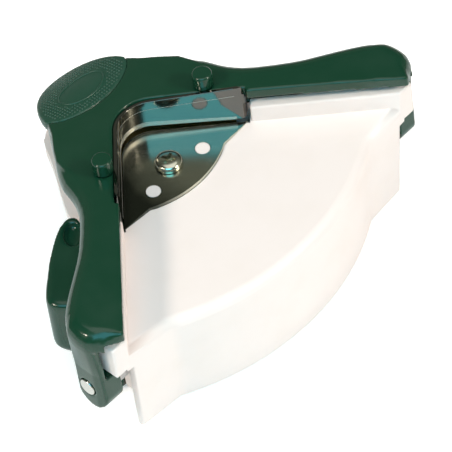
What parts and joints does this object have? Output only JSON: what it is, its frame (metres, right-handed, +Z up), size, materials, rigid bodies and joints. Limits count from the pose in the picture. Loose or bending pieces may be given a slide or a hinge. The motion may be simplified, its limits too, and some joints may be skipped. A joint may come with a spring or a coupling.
{
  "type": "corner rounder",
  "caption": "Desk punch with a V-shaped paper tray, a hinged V-shaped lever with a thumb pad, and a bright V-shaped blade that cuts a round corner on paper against a steel die plate.",
  "frame": {"origin": "middle of the footprint, on the surface the feet stand on", "axes": "+X across the object to its right, +Y from the paper's side to the thumb pad, +Z up"},
  "size_m": [0.1306, 0.0964, 0.0537],
  "materials": {
    "white_plastic": "warm white moulded plastic, satin",
    "green_plastic": "dark green moulded plastic, glossy",
    "pad_plastic": "dark green, finely pipped",
    "plate_steel": "polished steel",
    "blade_steel": "bright steel",
    "fastener_steel": "bright steel",
    "foot_rubber": "black rubber"
  },
  "bodies": {
    "body": {"tray_body": "white_plastic", "base": "green_plastic", "chip_cover": "green_plastic", "die_plate": "plate_steel", "die_screw": "plate_steel", "hinge_pin_left": "fastener_steel", "hinge_pin_right": "fastener_steel", "return_spring_left": "fastener_steel", "return_spring_right": "fastener_steel", "base_screw_front_left": "fastener_steel", "base_screw_front_right": "fastener_steel", "base_screw_rear": "fastener_steel", "foot_front_left": "foot_rubber", "foot_front_right": "foot_rubber", "foot_rear_left": "foot_rubber", "foot_rear_right": "foot_rubber"},
    "lever": {"lever": "green_plastic", "thumb_pad": "pad_plastic", "cutting_blade": "blade_steel", "post_left": "green_plastic", "post_right": "green_plastic", "post_screw_left": "fastener_steel", "post_screw_right": "fastener_steel"}
  },
  "joints": [
    {"name": "lever_hinge", "type": "hinge", "parent": "body", "child": "lever", "pos_m": [0, -0.02705, 0.0235], "axis": [-1, 0, 0], "range_deg": [0, 8.5], "stiffness_Nm_per_rad": 1.9, "springref_deg": -10, "deforming": ["return_spring_left", "return_spring_right"]}
  ]
}
